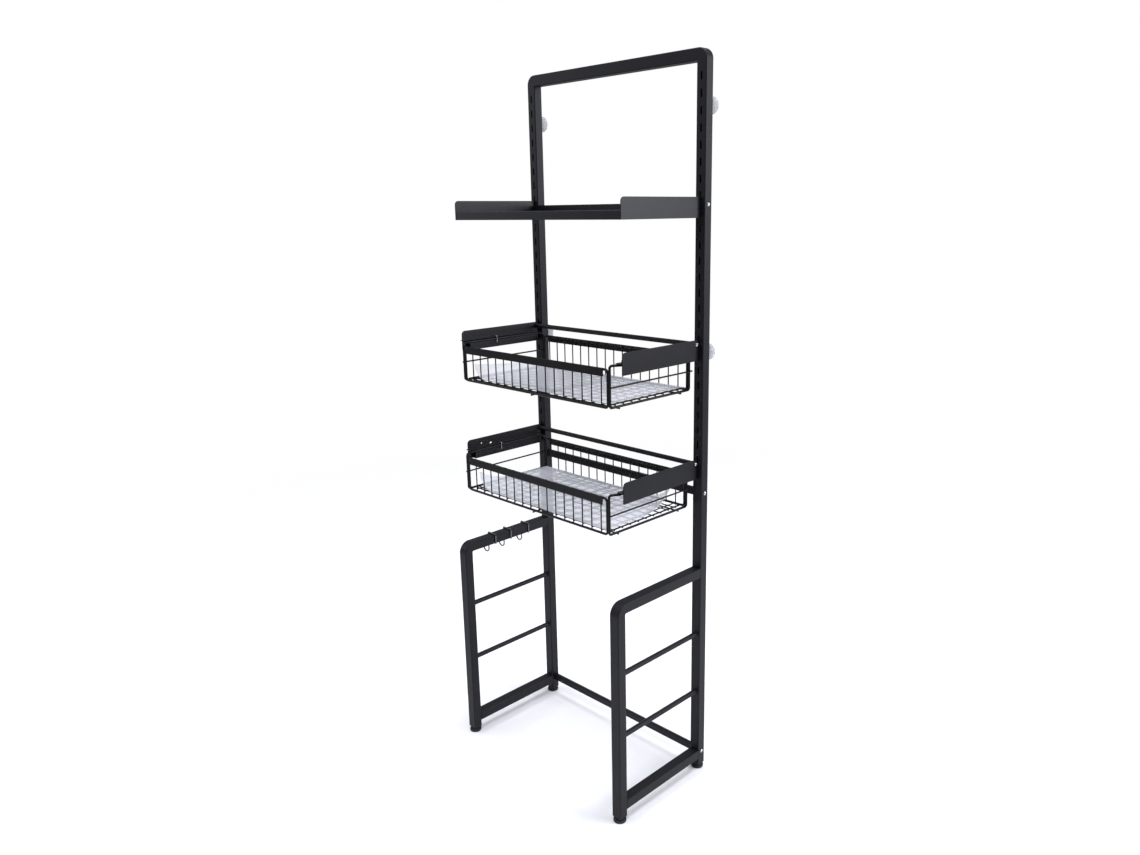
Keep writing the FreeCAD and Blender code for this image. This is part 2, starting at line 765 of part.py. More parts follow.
# ---------------------------------------------------------------- wire baskets
def basket(slot, forward):
    """One pull-out basket, pushed in to where it stops: forward is how much nearer the front that is."""
    base = slot_bottom_z(slot) - plate_below_slot
    half_frame = frame_wire / 2.0
    half_thin = thin_wire / 2.0
    floor_z = base - basket_drop
    top_z = base + loop_top
    front_y = -basket_front_y - forward
    rear_y = -basket_rear_y - forward
    wire_z = base + trough_lip_height + run_gap + half_frame

    def end_loop(y):
        points = [V(-loop_x, y, floor_z), V(loop_x, y, floor_z), V(loop_x, y, top_z), V(-loop_x, y, top_z)]
        return bent_wire(points, [loop_bend] * 4, frame_wire, closed=True)

    def band(y):
        half = loop_x - band_end_gap
        low = base + band_top - band_height
        return box(-half, half, y, y + band_thickness, low, low + band_height)

    loop = bent_wire([
        V(side_loop_x, front_y, floor_z),
        V(side_loop_x, front_y, wire_z),
        V(runner_x, front_y + run_out_length, wire_z),
        V(runner_x, rear_y - run_out_length, wire_z),
        V(side_loop_x, rear_y, wire_z),
        V(side_loop_x, rear_y, floor_z),
    ], [side_bend, side_bend, runner_bend, runner_bend, side_bend, side_bend], frame_wire, closed=True)

    side_wire_x = side_loop_x + half_frame + side_wire_diameter / 2.0
    side_wire_z = base - side_wire_drop
    side_wire = rod(V(side_wire_x, front_y - side_wire_front_overrun, side_wire_z),
                    V(side_wire_x, rear_y + side_wire_rear_overrun, side_wire_z), side_wire_diameter)

    reach = loop_x - upright_wire_margin
    pitch = 2.0 * reach / (upright_wire_count - 1)
    wire_xs = [-reach + i * pitch for i in range(upright_wire_count)]
    front_wire_y = front_y + half_frame + half_thin
    rear_wire_y = rear_y - half_frame - half_thin

    def uprights(y):
        low = floor_z - half_thin
        high = top_z + half_thin
        return [rod(V(x, y, low), V(x, y, high), thin_wire) for x in wire_xs]

    floor_front = front_wire_y + half_thin
    floor_rear = rear_wire_y - half_thin
    cross_z = floor_z + 1.0
    long_z = cross_z + thin_wire
    floor_wires = [rod(V(x, floor_front, long_z), V(x, floor_rear, long_z), thin_wire) for x in wire_xs]
    border_x = loop_x - border_wire_inset
    border_z = cross_z + half_thin + border_wire / 2.0
    for side in (-1, 1):
        start = V(side * border_x, floor_front, border_z)
        floor_wires.append(rod(start, V(side * border_x, floor_rear, border_z), border_wire))

    span = floor_rear - floor_front - 2 * cross_wire_end_gap
    cross_wires = []
    for i in range(cross_wire_count):
        y = floor_front + cross_wire_end_gap + i * span / (cross_wire_count - 1)
        cross_wires.append(rod(V(-border_x, y, cross_z), V(border_x, y, cross_z), thin_wire))

    support_z = floor_z - half_frame - border_wire / 2.0
    support = [rod(V(0, front_y - 2, support_z), V(0, rear_y + 2, support_z), border_wire)]
    for y in (front_y + support_wire_end_gap, rear_y - support_wire_end_gap):
        for side in (-1, 1):
            start = V(side * border_wire / 2.0, y, support_z)
            support.append(rod(start, V(side * side_loop_x, y, support_z), border_wire))

    liner_z = long_z + half_thin + liner_gap
    liner_half = border_x - border_wire / 2.0 - liner_side_gap
    liner = box(-liner_half, liner_half, floor_front + liner_side_gap, floor_rear - liner_side_gap,
                liner_z, liner_z + liner_thickness)
    return {
        "end_loops": [end_loop(front_y), end_loop(rear_y)],
        "bands": [band(front_y - half_frame - band_thickness), band(rear_y + half_frame)],
        "side_loops": [loop, mirrored(loop)],
        "side_wires": [side_wire, mirrored(side_wire)],
        "upright_wires": uprights(front_wire_y) + uprights(rear_wire_y),
        "floor_wires": floor_wires,
        "cross_wires": cross_wires,
        "support_wires": support,
        "liner": [liner],
    }


# ---------------------------------------------------------------- S-hooks
def s_hook(y):
    """A square clip over the left top rail that runs down into an open round hook outside it."""
    offset = hook_gap + hook_wire / 2.0
    top = side_rail_top_z + offset
    outer = -half_width - offset
    inner = -inner_x + offset
    low = side_rail_top_z - tube_depth - hook_drop + hook_wire / 2.0
    bowl = hook_mouth / 2.0 - 0.05
    points = [
        V(inner, y, top - hook_inner_leg),
        V(inner, y, top),
        V(outer, y, top),
        V(outer, y, low),
        V(outer - hook_mouth, y, low),
        V(outer - hook_mouth, y, low + hook_tip_rise),
    ]
    return bent_wire(points, [0, hook_bend, hook_bend, bowl, bowl, 0], hook_wire)


# ---------------------------------------------------------------- write every node
for name, shape in upper_frame().items():
    export(name, [shape])
export("joint_sleeves", [joint_sleeve(-1), joint_sleeve(1)])

post = lower_post()
export("post_lower_right", [post])
export("post_lower_left", [mirrored(post)])
for name, shape in side_hoop().items():
    export(name + "_right", [shape])
    export(name + "_left", [mirrored(shape)])
rail = bottom_rail()
export("bottom_rail_right", [rail])
export("bottom_rail_left", [mirrored(rail)])
rung_pair = rungs()
export("rungs", rung_pair + [mirrored(rung) for rung in rung_pair])
export("crossbar_upper", [crossbar(upper_crossbar_z)])
export("crossbar_lower", [crossbar(lower_crossbar_z)])
export("screws", screws())
export("suction_cups", [suction_cup(side, z) for z in (cup_upper_z, cup_lower_z) for side in (-1, 1)])

export("foot_plugs", [foot_plug(centre) for centre in foot_positions().values()])
for name, centre in foot_positions().items():
    export("foot_pad_" + name, [foot_pad(centre)])
    export("foot_stud_" + name, [foot_stud(centre)])

for name, shape in shelf().items():
    export(name, [shape])

for level, slot, forward in (
    ("upper", upper_basket_slot, 0.0),
    ("lower", lower_basket_slot, lower_basket_forward),
):
    carrier_nodes = carrier(slot)
    if level == "lower":
        guide_right, guide_left = carrier_nodes["guides"]
        carrier_nodes["guides"] = [guide_right, left_plate_holes(guide_left, slot)]
        carrier_nodes["plate_left"] = [left_plate_holes(carrier_nodes["plate_left"][0], slot)]
    for name, solids in carrier_nodes.items():
        export("carrier_" + level + "_" + name, solids)
    for name, solids in basket(slot, forward).items():
        export("basket_" + level + "_" + name, solids)

for name, y in zip(("front", "middle", "rear"), hook_positions_y):
    export("s_hook_" + name, [s_hook(y)])
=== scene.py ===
"""Looks of an over-the-toilet storage rack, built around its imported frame.

The rack is a powder-coated steel frame with a slotted upright on each side, a folded shelf, two pull-out wire
baskets with frosted liners, towel rungs, levelling feet, bright screws and S-hooks, and clear suction cups.
Lengths in the sub-assembly classes are millimetres, and meshes are written in metres.
"""

import logging
from collections.abc import Iterable, Mapping, Sequence
from dataclasses import dataclass, field
from enum import Enum
from typing import Any

import bpy
import numpy as np
from mathutils import Matrix, Vector


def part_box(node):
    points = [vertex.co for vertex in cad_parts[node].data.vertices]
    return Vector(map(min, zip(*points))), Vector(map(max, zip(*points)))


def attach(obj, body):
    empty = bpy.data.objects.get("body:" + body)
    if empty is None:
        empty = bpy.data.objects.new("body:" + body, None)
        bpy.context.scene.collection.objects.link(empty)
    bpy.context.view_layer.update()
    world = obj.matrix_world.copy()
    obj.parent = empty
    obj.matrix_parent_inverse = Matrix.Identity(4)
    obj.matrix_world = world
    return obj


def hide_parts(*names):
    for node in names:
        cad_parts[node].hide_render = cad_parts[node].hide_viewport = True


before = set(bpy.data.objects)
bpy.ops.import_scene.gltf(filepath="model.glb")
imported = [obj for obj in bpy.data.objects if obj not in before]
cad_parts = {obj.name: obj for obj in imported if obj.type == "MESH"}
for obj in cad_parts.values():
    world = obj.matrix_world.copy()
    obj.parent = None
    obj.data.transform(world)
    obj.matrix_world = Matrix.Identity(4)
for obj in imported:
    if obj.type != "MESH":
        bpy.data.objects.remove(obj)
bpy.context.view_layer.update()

MM = 0.001
TINY = 1e-9
log = logging.getLogger("rack")


class Level(Enum):
    """The two heights at which a basket hangs."""

    UPPER = "upper"
    LOWER = "lower"


class Corner(Enum):
    """The four corners where the rack stands on the floor."""

    FRONT_LEFT = "front_left"
    FRONT_RIGHT = "front_right"
    REAR_LEFT = "rear_left"
    REAR_RIGHT = "rear_right"


class Slot(Enum):
    """The record's finishes that new pieces take."""

    BLACK_COAT = "black_coat"
    ZINC_STEEL = "zinc_steel"
    CLEAR_VINYL = "clear_vinyl"
    FROSTED_LINER = "frosted_liner"


# ---------------------------------------------------------------- small helpers
def linear(hex_code: str) -> tuple[float, float, float, float]:
    """Turns an sRGB colour into the linear one that shaders mix.

    Args:
        hex_code: six hexadecimal digits, red first.

    Returns:
        Linear red, green and blue, and an alpha of one.
    """
    srgb = np.array([int(hex_code[i : i + 2], 16) for i in (0, 2, 4)]) / 255.0
    light = np.where(srgb <= 0.04045, srgb / 12.92, ((srgb + 0.055) / 1.055) ** 2.4)
    return (*(float(value) for value in light), 1.0)


def per_metre(size_mm: float) -> float:
    """The pattern scale, in repeats a metre, of a feature that is size_mm across."""
    return 1.0 / (size_mm * MM)


def add_node(
    tree: bpy.types.NodeTree, kind: str, inputs: Mapping[Any, Any], **settings: Any
) -> bpy.types.Node:
    """Adds a node with its settings, its constants and its links.

    Args:
        tree: the material's or world's node tree.
        kind: the node's type name.
        inputs: for each input name or number, a socket to link from or a constant.
        settings: the node's own properties.

    Returns:
        The new node.
    """
    node = tree.nodes.new(kind)
    for key, value in settings.items():
        setattr(node, key, value)
    for key, value in inputs.items():
        if isinstance(value, bpy.types.NodeSocket):
            tree.links.new(value, node.inputs[key])
        else:
            node.inputs[key].default_value = value
    return node


def new_material(name: str) -> tuple[bpy.types.Material, bpy.types.NodeTree, bpy.types.NodeSocket]:
    """Makes an empty material.

    Args:
        name: the real finish's name.

    Returns:
        The material, its node tree, and its object coordinates as a socket.
    """
    material = bpy.data.materials.new(name)
    material.use_nodes = True
    tree = material.node_tree
    tree.nodes.clear()
    place = add_node(tree, "ShaderNodeTexCoord", {}).outputs["Object"]
    return material, tree, place


def finish_material(tree: bpy.types.NodeTree, shader: bpy.types.Node) -> None:
    """Links the shader to the material's output."""
    add_node(tree, "ShaderNodeOutputMaterial", {"Surface": shader.outputs[0]})


# ---------------------------------------------------------------- finishes
@dataclass(frozen=True)
class PowderCoat:
    """Polyester powder coat, sprayed dry on steel and baked.

    It gives a satin charcoal skin with a faint orange peel, rounded and smooth along folded edges, with a
    highlight painted along them in a lighter colour.
    """

    name: str
    colour: str = "111115"
    cloud_colour: str = "16161b"
    # The lighter colour that is painted along edges as a highlight.
    highlight_colour: str = "2e2e33"
    roughness: float = 0.46
    roughness_swing: float = 0.06
    specular: float = 0.2
    # Real peel is about 0.6 mm across; it is drawn coarser, because that is too fine to show.
    peel_mm: float = 1.6
    peel_height_mm: float = 0.02
    cloud_mm: float = 70.0
    grit_mm: float = 0.9
    edge_mm: float = 0.8
    # A highlight is painted on edges where the rounded normal leans from the flat one: the cosines where it
    # starts and is full.
    highlight_start: float = 0.995
    highlight_full: float = 0.9
    grit_low: float = 0.3
    grit_high: float = 0.75
    speck_low: float = 0.88
    speck_high: float = 1.14
    peel_strength: float = 0.5

    def build(self) -> bpy.types.Material:
        """Builds the node material and returns it."""
        material, tree, place = new_material(self.name)
        cloud = add_node(
            tree, "ShaderNodeTexNoise",
            {"Vector": place, "Scale": per_metre(self.cloud_mm), "Detail": 3.0},
        )
        grit = add_node(
            tree, "ShaderNodeTexNoise",
            {"Vector": place, "Scale": per_metre(self.grit_mm), "Detail": 1.0},
        )
        peel = add_node(
            tree, "ShaderNodeTexNoise",
            {"Vector": place, "Scale": per_metre(self.peel_mm), "Detail": 2.0},
        )
        coat = add_node(
            tree, "ShaderNodeMix",
            {"Factor": cloud.outputs["Fac"], "A": linear(self.colour), "B": linear(self.cloud_colour)},
            data_type="RGBA",
        )
        speck = add_node(
            tree, "ShaderNodeMapRange",
            {
                "Value": grit.outputs["Fac"],
                "From Min": self.grit_low, "From Max": self.grit_high,
                "To Min": self.speck_low, "To Max": self.speck_high,
            },
        )
        speckled = add_node(
            tree, "ShaderNodeVectorMath", {0: coat.outputs["Result"], "Scale": speck.outputs["Result"]},
            operation="SCALE",
        )
        rounded = add_node(tree, "ShaderNodeBevel", {"Radius": self.edge_mm * MM}, samples=4)
        flat = add_node(tree, "ShaderNodeNewGeometry", {})
        facing = add_node(
            tree, "ShaderNodeVectorMath", {0: rounded.outputs["Normal"], 1: flat.outputs["Normal"]},
            operation="DOT_PRODUCT",
        )
        edge = add_node(
            tree, "ShaderNodeMapRange",
            {"Value": facing.outputs["Value"], "From Min": self.highlight_start, "From Max": self.highlight_full},
        )
        # Painted highlight along the edges, made patchy by the cloud noise; the mix below lays the lighter
        # edge colour there.
        painted_edge_highlight = add_node(
            tree, "ShaderNodeMath", {0: edge.outputs["Result"], 1: cloud.outputs["Fac"]}, operation="MULTIPLY"
        )
        colour = add_node(
            tree, "ShaderNodeMix",
            {"Factor": painted_edge_highlight.outputs["Value"], "A": speckled.outputs["Vector"], "B": linear(self.highlight_colour)},
            data_type="RGBA",
        )
        rough = add_node(
            tree, "ShaderNodeMapRange",
            {
                "Value": grit.outputs["Fac"],
                "To Min": self.roughness - self.roughness_swing,
                "To Max": self.roughness + self.roughness_swing,
            },
        )
        bump = add_node(
            tree, "ShaderNodeBump",
            {
                "Strength": self.peel_strength,
                "Distance": self.peel_height_mm * MM,
                "Height": peel.outputs["Fac"],
                "Normal": rounded.outputs["Normal"],
            },
        )
        shader = add_node(
            tree, "ShaderNodeBsdfPrincipled",
            {
                "Base Color": colour.outputs["Result"],
                "Roughness": rough.outputs["Result"],
                "Specular IOR Level": self.specular,
                "Normal": bump.outputs["Normal"],
            },
        )
        finish_material(tree, shader)
        return material


@dataclass(frozen=True)
class PlatedSteel:
    """Steel with a bright metal plating.

    It gives a grey to near-white mirror on wire and screw heads, clouded by the barrel it was plated in.
    """

    name: str
    colour: str = "55565a"
    cloud_colour: str = "67686c"
    roughness: float = 0.14
    roughness_swing: float = 0.08
    # Drawing marks are hundredths of a millimetre wide; they are drawn coarser so that they show.
    mark_mm: float = 0.7
    mark_height_mm: float = 0.004
    mark_strength: float = 0.4
    cloud_mm: float = 6.0
    cloud_low: float = 0.3
    cloud_high: float = 0.7

    def build(self) -> bpy.types.Material:
        """Builds the node material and returns it."""
        material, tree, place = new_material(self.name)
        cloud = add_node(
            tree, "ShaderNodeTexNoise",
            {"Vector": place, "Scale": per_metre(self.cloud_mm), "Detail": 4.0},
        )
        mark = add_node(
            tree, "ShaderNodeTexNoise",
            {"Vector": place, "Scale": per_metre(self.mark_mm), "Detail": 2.0},
        )
        colour = add_node(
            tree, "ShaderNodeMix",
            {"Factor": cloud.outputs["Fac"], "A": linear(self.colour), "B": linear(self.cloud_colour)},
            data_type="RGBA",
        )
        rough = add_node(
            tree, "ShaderNodeMapRange",
            {
                "Value": cloud.outputs["Fac"],
                "From Min": self.cloud_low, "From Max": self.cloud_high,
                "To Min": self.roughness - self.roughness_swing,
                "To Max": self.roughness + self.roughness_swing,
            },
        )
        bump = add_node(
            tree, "ShaderNodeBump",
            {
                "Strength": self.mark_strength,
                "Distance": self.mark_height_mm * MM,
                "Height": mark.outputs["Fac"],
            },
        )
        shader = add_node(
            tree, "ShaderNodeBsdfPrincipled",
            {
                "Base Color": colour.outputs["Result"],
                "Metallic": 1.0,
                "Roughness": rough.outputs["Result"],
                "Normal": bump.outputs["Normal"],
            },
        )
        finish_material(tree, shader)
        return material


@dataclass(frozen=True)
class MouldedPlastic:
    """Black polypropylene from a spark-eroded mould.

    It gives a matt, finely pitted black that is a shade lighter where a floor has rubbed it.
    """

    name: str
    colour: str = "09090a"
    rubbed_colour: str = "161618"
    roughness: float = 0.5
    # Spark-eroded pits are about 0.1 mm across; they are drawn coarser so that they show.
    pit_mm: float = 0.8
    pit_height_mm: float = 0.05
    pit_strength: float = 0.5
    rub_mm: float = 9.0
    rub_low: float = 0.5
    rub_high: float = 0.8
    rub_share: float = 0.8
    roughness_swing: float = 0.1
    ior: float = 1.49

    def build(self) -> bpy.types.Material:
        """Builds the node material and returns it."""
        material, tree, place = new_material(self.name)
        rub = add_node(
            tree, "ShaderNodeTexNoise",
            {"Vector": place, "Scale": per_metre(self.rub_mm), "Detail": 4.0},
        )
        pits = add_node(tree, "ShaderNodeTexVoronoi", {"Vector": place, "Scale": per_metre(self.pit_mm)})
        rubbed = add_node(
            tree, "ShaderNodeMapRange",
            {
                "Value": rub.outputs["Fac"],
                "From Min": self.rub_low, "From Max": self.rub_high, "To Max": self.rub_share,
            },
        )
        colour = add_node(
            tree, "ShaderNodeMix",
            {"Factor": rubbed.outputs["Result"], "A": linear(self.colour), "B": linear(self.rubbed_colour)},
            data_type="RGBA",
        )
        rough = add_node(
            tree, "ShaderNodeMapRange",
            {
                "Value": rub.outputs["Fac"],
                "To Min": self.roughness + self.roughness_swing,
                "To Max": self.roughness - self.roughness_swing,
            },
        )
        bump = add_node(
            tree, "ShaderNodeBump",
            {
                "Strength": self.pit_strength,
                "Distance": self.pit_height_mm * MM,
                "Height": pits.outputs["Distance"],
            },
        )
        shader = add_node(
            tree, "ShaderNodeBsdfPrincipled",
            {
                "Base Color": colour.outputs["Result"],
                "Roughness": rough.outputs["Result"],
                "IOR": self.ior,
                "Normal": bump.outputs["Normal"],
            },
        )
        finish_material(tree, shader)
        return material


@dataclass(frozen=True)
class ClearVinyl:
    """Clear plasticised vinyl, injection moulded.

    It gives a soft, wet-looking clear rubber with slow flow lines and a faint haze.
    """

    name: str
    colour: str = "f8fafd"
    haze_colour: str = "eef3f9"
    roughness: float = 0.2
    transmission: float = 0.45
    opacity: float = 0.6
    ior: float = 1.53
    flow_mm: float = 7.0
    flow_height_mm: float = 0.12
    flow_strength: float = 0.3
    flow_twist: float = 0.8
    smoother: float = 0.05
    rougher: float = 0.08

    def build(self) -> bpy.types.Material:
        """Builds the node material and returns it."""
        material, tree, place = new_material(self.name)
        flow = add_node(
            tree, "ShaderNodeTexNoise",
            {
                "Vector": place, "Scale": per_metre(self.flow_mm),
                "Detail": 2.0, "Distortion": self.flow_twist,
            },
        )
        colour = add_node(
            tree, "ShaderNodeMix",
            {"Factor": flow.outputs["Fac"], "A": linear(self.colour), "B": linear(self.haze_colour)},
            data_type="RGBA",
        )
        rough = add_node(
            tree, "ShaderNodeMapRange",
            {
                "Value": flow.outputs["Fac"],
                "To Min": self.roughness - self.smoother,
                "To Max": self.roughness + self.rougher,
            },
        )
        bump = add_node(
            tree, "ShaderNodeBump",
            {
                "Strength": self.flow_strength,
                "Distance": self.flow_height_mm * MM,
                "Height": flow.outputs["Fac"],
            },
        )
        shader = add_node(
            tree, "ShaderNodeBsdfPrincipled",
            {
                "Base Color": colour.outputs["Result"],
                "Roughness": rough.outputs["Result"],
                "IOR": self.ior,
                "Transmission Weight": self.transmission,
                "Alpha": self.opacity,
                "Normal": bump.outputs["Normal"],
            },
        )
        finish_material(tree, shader)
        return material


@dataclass(frozen=True)
class FrostedSheet:
    """Extruded polypropylene sheet, frosted on one side.

    It gives a milky, greyish white sheet with fine lines along its length, and wires show through it.
    """

    name: str
    colour: str = "f6f7fa"
    line_colour: str = "d6d9e0"
    roughness: float = 0.3
    opacity: float = 0.5
    ior: float = 1.49
    line_mm: float = 3.2
    line_height_mm: float = 0.05
    line_strength: float = 0.35
    grain_mm: float = 1.1
    roughness_swing: float = 0.08
    line_stretch: float = 0.03

    def build(self) -> bpy.types.Material:
        """Builds the node material and returns it."""
        material, tree, place = new_material(self.name)
        # Stretching the pattern along X turns round noise into the extruder's long lines.
        along = add_node(tree, "ShaderNodeMapping", {"Vector": place, "Scale": (self.line_stretch, 1.0, 1.0)})
        lines = add_node(
            tree, "ShaderNodeTexNoise",
            {"Vector": along.outputs["Vector"], "Scale": per_metre(self.line_mm), "Detail": 3.0},
        )
        grain = add_node(
            tree, "ShaderNodeTexNoise",
            {"Vector": place, "Scale": per_metre(self.grain_mm), "Detail": 2.0},
        )
        colour = add_node(
            tree, "ShaderNodeMix",
            {"Factor": lines.outputs["Fac"], "A": linear(self.colour), "B": linear(self.line_colour)},
            data_type="RGBA",
        )
        height = add_node(
            tree, "ShaderNodeMath", {0: lines.outputs["Fac"], 1: grain.outputs["Fac"]}, operation="ADD"
        )
        bump = add_node(
            tree, "ShaderNodeBump",
            {
                "Strength": self.line_strength,
                "Distance": self.line_height_mm * MM,
                "Height": height.outputs["Value"],
            },
        )
        rough = add_node(
            tree, "ShaderNodeMapRange",
            {
                "Value": grain.outputs["Fac"],
                "To Min": self.roughness - self.roughness_swing,
                "To Max": self.roughness + self.roughness_swing,
            },
        )
        shader = add_node(
            tree, "ShaderNodeBsdfPrincipled",
            {
                "Base Color": colour.outputs["Result"],
                "Roughness": rough.outputs["Result"],
                "IOR": self.ior,
                "Alpha": self.opacity,
                "Normal": bump.outputs["Normal"],
            },
        )
        finish_material(tree, shader)
        return material


@dataclass(frozen=True)
class StudioPaper:
    """Matt white seamless paper.

    It gives a pale floor with the faint unevenness of its fibres, which fades into the backdrop far out.
    """

    name: str = "seamless_paper"
    colour: str = "f8f8f8"
    shade_colour: str = "f4f4f5"
    roughness: float = 0.9
    specular: float = 0.2
    fibre_mm: float = 30.0
    fade_start: float = 1.2
    fade_end: float = 3.6

    def build(self) -> bpy.types.Material:
        """Builds the node material and returns it."""
        material, tree, place = new_material(self.name)
        fibre = add_node(
            tree, "ShaderNodeTexNoise",
            {"Vector": place, "Scale": per_metre(self.fibre_mm), "Detail": 3.0},
        )
        colour = add_node(
            tree, "ShaderNodeMix",
            {"Factor": fibre.outputs["Fac"], "A": linear(self.colour), "B": linear(self.shade_colour)},
            data_type="RGBA",
        )
        shader = add_node(
            tree, "ShaderNodeBsdfPrincipled",
            {
                "Base Color": colour.outputs["Result"],
                "Roughness": self.roughness,
                "Specular IOR Level": self.specular,
            },
        )
        distance = add_node(tree, "ShaderNodeVectorMath", {0: place}, operation="LENGTH")
        fade = add_node(
            tree, "ShaderNodeMapRange",
            {"Value": distance.outputs["Value"], "From Min": self.fade_start, "From Max": self.fade_end},
            interpolation_type="SMOOTHSTEP",
        )
        clear = add_node(tree, "ShaderNodeBsdfTransparent", {})
        mix = add_node(
            tree, "ShaderNodeMixShader",
            {0: fade.outputs["Result"], 1: shader.outputs["BSDF"], 2: clear.outputs["BSDF"]},
        )
        finish_material(tree, mix)
        return material


@dataclass(frozen=True)
class Finishes:
    """Every finish on the rack, built once."""

    tube: bpy.types.Material = field(default_factory=lambda: PowderCoat("powder_coat_tube").build())
    sheet: bpy.types.Material = field(
        default_factory=lambda: PowderCoat(
            "powder_coat_sheet", roughness=0.38, specular=0.24, edge_mm=0.5
        ).build()
    )
    wire: bpy.types.Material = field(
        default_factory=lambda: PowderCoat(
            "powder_coat_wire",
            colour="0f0f11", cloud_colour="141416", roughness=0.38, peel_mm=1.0, edge_mm=0.3,
        ).build()
    )
    chrome_wire: bpy.types.Material = field(
        default_factory=lambda: PlatedSteel("nickel_plated_spring_wire").build()
    )
    chrome_screw: bpy.types.Material = field(
        default_factory=lambda: PlatedSteel(
            "nickel_plated_screw_steel", colour="d8dade", cloud_colour="bfc2c7", roughness=0.3, mark_mm=0.5
        ).build()
    )
    zinc: bpy.types.Material = field(
        default_factory=lambda: PlatedSteel(
            "zinc_plated_steel", colour="b4b8be", cloud_colour="9aa0a8", roughness=0.34, cloud_mm=11.0
        ).build()
    )
    plastic: bpy.types.Material = field(
        default_factory=lambda: MouldedPlastic("moulded_polypropylene").build()
    )
    vinyl: bpy.types.Material = field(default_factory=lambda: ClearVinyl("clear_vinyl").build())
    liner: bpy.types.Material = field(
        default_factory=lambda: FrostedSheet("frosted_polypropylene_sheet").build()
    )


# ---------------------------------------------------------------- surfaces
@dataclass(frozen=True)
class Surface:
    """Vertices in millimetres, with the quads and triangles that join them."""

    vertices: np.ndarray
    quads: np.ndarray
    triangles: np.ndarray = field(default_factory=lambda: np.empty((0, 3), dtype=int))

    @staticmethod
    def grid_quads(rows: int, columns: int, wrap_rows: bool, wrap_columns: bool) -> np.ndarray:
        """Joins the points of a grid.

        Each quad joins a point, the next one along its row, and the same two on the next row. Wrapping joins
        the last row or column to the first one.

        Args:
            rows: the number of rows.
            columns: the number of points on a row.
            wrap_rows: whether the last row joins the first.
            wrap_columns: whether the last column joins the first.

        Returns:
            Four point numbers for each quad.
        """
        number = np.arange(rows * columns).reshape(rows, columns)
        if wrap_rows:
            number = np.concatenate([number, number[:1]], axis=0)
        if wrap_columns:
            number = np.concatenate([number, number[:, :1]], axis=1)
        corners = (number[:-1, :-1], number[:-1, 1:], number[1:, 1:], number[1:, :-1])
        return np.stack([corner.ravel() for corner in corners], axis=1)

    @classmethod
    def turned(cls, radius: np.ndarray, height: np.ndarray, segments: int) -> "Surface":
        """A solid turned about the Z axis.

        A point is (r cos t, r sin t, h): its radius r and height h come from the profile, and the angle t
        goes once round. A profile that starts and ends on the axis is closed there by one point at each
        end, and any other profile is taken as a closed ring.

        Args:
            radius: the profile's distances from the axis.
            height: the profile's heights.
            segments: how many steps go round.

        Returns:
            The closed surface.
        """
        on_axis = radius[0] < TINY and radius[-1] < TINY
        r, h = (radius[1:-1], height[1:-1]) if on_axis else (radius, height)
        turn = np.linspace(0.0, 2.0 * np.pi, segments, endpoint=False)
        across = r[:, None] * np.cos(turn)[None, :]
        along = r[:, None] * np.sin(turn)[None, :]
        up = np.repeat(h[:, None], segments, axis=1)
        points = np.stack([across, along, up], axis=-1).reshape(-1, 3)
        quads = cls.grid_quads(len(r), segments, not on_axis, True)
        if not on_axis:
            return cls(points, quads)
        first = np.arange(segments)
        last = first + (len(r) - 1) * segments
        start, end = len(points), len(points) + 1
        points = np.concatenate([points, [[0.0, 0.0, height[0]], [0.0, 0.0, height[-1]]]])
        start_fan = np.stack([np.full(segments, start), np.roll(first, -1), first], axis=1)
        end_fan = np.stack([np.full(segments, end), last, np.roll(last, -1)], axis=1)
        return cls(points, quads, np.concatenate([start_fan, end_fan]))

    @classmethod
    def sheet(cls, middle: np.ndarray, thickness: float) -> "Surface":
        """A closed sheet of even thickness.

        The two faces stand half the thickness either side of the middle surface, along its normal, which is
        the cross product of the surface's slopes along its rows and columns. Quads close the four edges.

        Args:
            middle: the middle surface's points, rows by columns by 3.
            thickness: the sheet's thickness.

        Returns:
            The closed surface.
        """
        rows, columns = middle.shape[:2]
        normal = np.cross(np.gradient(middle, axis=0), np.gradient(middle, axis=1))
        normal /= np.linalg.norm(normal, axis=-1, keepdims=True)
        faces = [middle + side * 0.5 * thickness * normal for side in (-1.0, 1.0)]
        points = np.concatenate([face.reshape(-1, 3) for face in faces])
        low = cls.grid_quads(rows, columns, False, False)
        number = np.arange(rows * columns).reshape(rows, columns)
        rim = np.concatenate([number[0, :], number[1:, -1], number[-1, -2::-1], number[-2:0:-1, 0]])
        after = np.roll(rim, -1)
        upper = rows * columns
        edge = np.stack([rim, rim + upper, after + upper, after], axis=1)
        return cls(points, np.concatenate([low, low[:, ::-1] + upper, edge]))

    def turned_to(self, x: Sequence[float], y: Sequence[float], z: Sequence[float]) -> "Surface":
        """The surface with its own axes laid along the three given directions."""
        axes = np.array([x, y, z], dtype=float)
        return Surface(self.vertices @ axes, self.quads, self.triangles)

    def copies(self, places: np.ndarray) -> "Surface":
        """One copy at each place, as a single surface.

        Args:
            places: one point for each copy.

        Returns:
            All the copies together.
        """
        count, size = len(places), len(self.vertices)
        points = (self.vertices[None, :, :] + places[:, None, :]).reshape(-1, 3)
        step = (np.arange(count) * size)[:, None, None]
        quads = (self.quads[None, :, :] + step).reshape(-1, 4)
        triangles = (self.triangles[None, :, :] + step).reshape(-1, 3)
        return Surface(points, quads, triangles)

    def facing_out(self) -> "Surface":
        """The surface with its faces turned outwards.

        The signed volume is a sixth of the sum of each triangle's triple product. It is negative when the
        faces point in, and then every face is turned over.

        Returns:
            The surface, facing out.
        """
        halves = np.concatenate([self.quads[:, [0, 1, 2]], self.quads[:, [0, 2, 3]], self.triangles])
        a, b, c = (self.vertices[halves[:, i]] for i in range(3))
        volume = float(np.einsum("ij,ij->i", a, np.cross(b, c)).sum()) / 6.0
        if volume >= 0.0:
            return self
        return Surface(self.vertices, self.quads[:, ::-1], self.triangles[:, ::-1])


